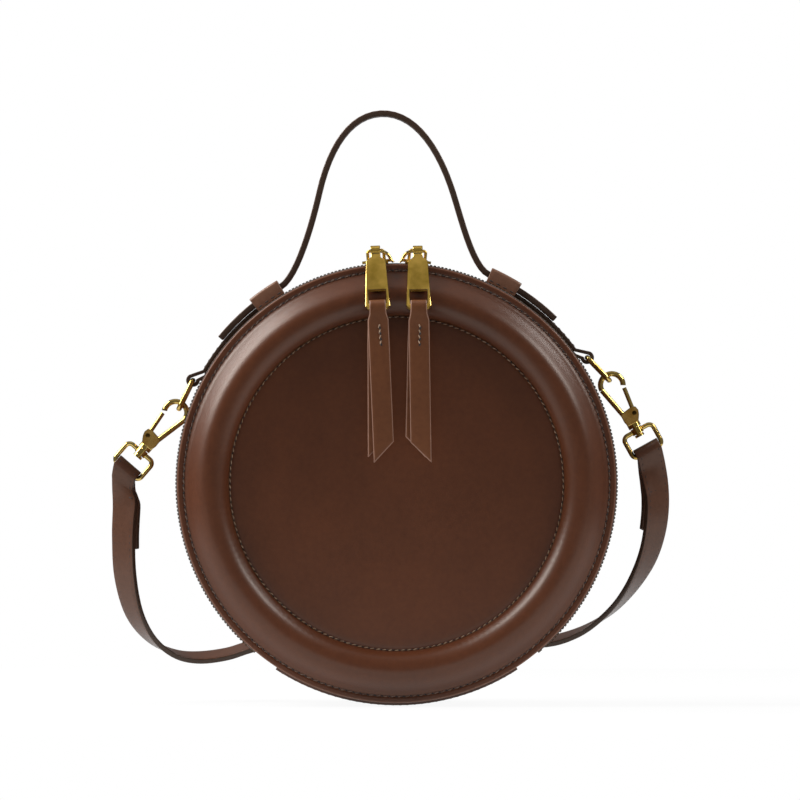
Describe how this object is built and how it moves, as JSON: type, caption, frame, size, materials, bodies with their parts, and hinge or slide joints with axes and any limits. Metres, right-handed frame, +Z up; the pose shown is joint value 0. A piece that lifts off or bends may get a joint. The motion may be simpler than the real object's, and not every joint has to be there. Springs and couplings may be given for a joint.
{
  "type": "circle bag",
  "caption": "Round zipped leather bag with a padded ring front, stiff arched top handle and a shoulder strap on snap hooks.",
  "frame": {"origin": "centre of the flat back panel's outer face", "axes": "+X to the right seen from the front, +Z up, and the front faces -Y"},
  "size_m": [0.2575, 0.1056, 0.2727],
  "materials": {
    "body_leather": "pebbled chocolate brown leather with a soft sheen",
    "handle_leather": "smooth dark brown leather with painted edges",
    "strap_leather": "smooth brown leather strap with stitched sides",
    "pull_leather": "thin brown leather with cut edges",
    "lining": "woven cotton lining",
    "board": "plain stiffening board",
    "foam": "soft foam cord",
    "zip_tape": "woven brown zip tape",
    "zip_brass": "satin brass teeth",
    "satin_gold": "brushed gold with bright bevelled edges",
    "polished_gold": "polished gold"
  },
  "bodies": {
    "root": {"back_panel": "body_leather", "back_board": "board", "back_lining": "lining", "rear_gusset": "body_leather", "gusset_lining": "lining", "hinge_fold": "body_leather", "bottom_patch": "body_leather", "zip_tape_rear": "zip_tape", "zip_teeth_rear": "zip_brass", "zip_stops": "zip_brass", "handle": "handle_leather", "keeper_left": "handle_leather", "keeper_right": "handle_leather", "ring_tab_left": "handle_leather", "ring_tab_right": "handle_leather"},
    "lid": {"front_ring_cover": "body_leather", "ring_padding": "foam", "front_centre_disc": "body_leather", "front_board": "board", "front_lining": "lining", "zip_tape_front": "zip_tape", "zip_teeth_front": "zip_brass"},
    "strap": {"strap_ring_left": "polished_gold", "strap_ring_right": "polished_gold", "strap_loop_left": "strap_leather", "strap_loop_right": "strap_leather", "strap_lining_left": "strap_leather", "strap_lining_right": "strap_leather", "shoulder_strap": "strap_leather"},
    "left_slider": {"slider_left": "satin_gold"},
    "left_pull": {"pull_plate_left": "satin_gold"},
    "left_leather": {"leather_pull_left": "pull_leather"},
    "left_ring": {"ring_left": "polished_gold"},
    "left_hook": {"hook_left": "polished_gold", "gate_rivet_left": "polished_gold"},
    "left_gate": {"gate_left": "polished_gold"},
    "right_slider": {"slider_right": "satin_gold"},
    "right_pull": {"pull_plate_right": "satin_gold"},
    "right_leather": {"leather_pull_right": "pull_leather"},
    "right_ring": {"ring_right": "polished_gold"},
    "right_hook": {"hook_right": "polished_gold", "gate_rivet_right": "polished_gold"},
    "right_gate": {"gate_right": "polished_gold"}
  },
  "joints": [
    {"name": "lid_hinge", "type": "hinge", "parent": "root", "child": "lid", "pos_m": [0, -0.0658, -0.099], "axis": [1, 0, 0], "range_deg": [0, 60], "deforming": ["hinge_fold"]},
    {"name": "left_slider_run", "type": "hinge", "parent": "lid", "child": "left_slider", "pos_m": [0, -0.0674, 0], "axis": [0, 1, 0], "range_deg": [-128, 0], "deforming": ["zip_teeth_front", "zip_teeth_rear", "zip_tape_front", "zip_tape_rear"]},
    {"name": "left_pull_lift", "type": "hinge", "parent": "left_slider", "child": "left_pull", "pos_m": [-0.00966, -0.0704, 0.10616], "axis": [-0.9991, 0, -0.0419], "range_deg": [0, 120]},
    {"name": "left_leather_lift", "type": "hinge", "parent": "left_pull", "child": "left_leather", "pos_m": [-0.00858, -0.08693, 0.08031], "axis": [-0.9991, 0, -0.0419], "range_deg": [0, 90]},
    {"name": "right_slider_run", "type": "hinge", "parent": "lid", "child": "right_slider", "pos_m": [0, -0.0674, 0], "axis": [0, 1, 0], "range_deg": [0, 128], "deforming": ["zip_teeth_front", "zip_teeth_rear", "zip_tape_front", "zip_tape_rear"]},
    {"name": "right_pull_lift", "type": "hinge", "parent": "right_slider", "child": "right_pull", "pos_m": [0.00966, -0.0704, 0.10616], "axis": [-0.9999, 0, -0.0157], "range_deg": [0, 120]},
    {"name": "right_leather_lift", "type": "hinge", "parent": "right_pull", "child": "right_leather", "pos_m": [0.01007, -0.08693, 0.08029], "axis": [-0.9999, 0, -0.0157], "range_deg": [0, 90]},
    {"name": "left_ring_swing", "type": "hinge", "parent": "root", "child": "left_ring", "pos_m": [-0.09376, -0.03, 0.04716], "axis": [0, 1, 0], "range_deg": [-2.5, 5.5]},
    {"name": "right_ring_swing", "type": "hinge", "parent": "root", "child": "right_ring", "pos_m": [0.08772, -0.03, 0.05762], "axis": [0, 1, 0], "range_deg": [-2.5, 5.5]},
    {"name": "strap_swing", "type": "hinge", "parent": "root", "child": "strap", "pos_m": [-0.09835, -0.03, 0.03611], "axis": [0.9976, 0, 0.0687], "range_deg": [0, 60]},
    {"name": "left_hook_swivel", "type": "hinge", "parent": "strap", "child": "left_hook", "pos_m": [-0.09835, -0.03, 0.03611], "axis": [-0.6561, 0, -0.7547], "range_deg": [-25, 25]},
    {"name": "left_gate_spring", "type": "hinge", "parent": "left_hook", "child": "left_gate", "pos_m": [-0.11451, -0.03, 0.02179], "axis": [0, 1, 0], "range_deg": [0, 20], "stiffness_Nm_per_rad": 0.02, "springref_deg": -5.73},
    {"name": "right_hook_swivel", "type": "hinge", "parent": "strap", "child": "right_hook", "pos_m": [0.09653, -0.03, 0.04952], "axis": [-0.4848, 0, 0.8746], "range_deg": [-25, 25]},
    {"name": "right_gate_spring", "type": "hinge", "parent": "right_hook", "child": "right_gate", "pos_m": [0.10935, -0.03, 0.03216], "axis": [0, -1, 0], "range_deg": [0, 20], "stiffness_Nm_per_rad": 0.02, "springref_deg": -5.73}
  ]
}
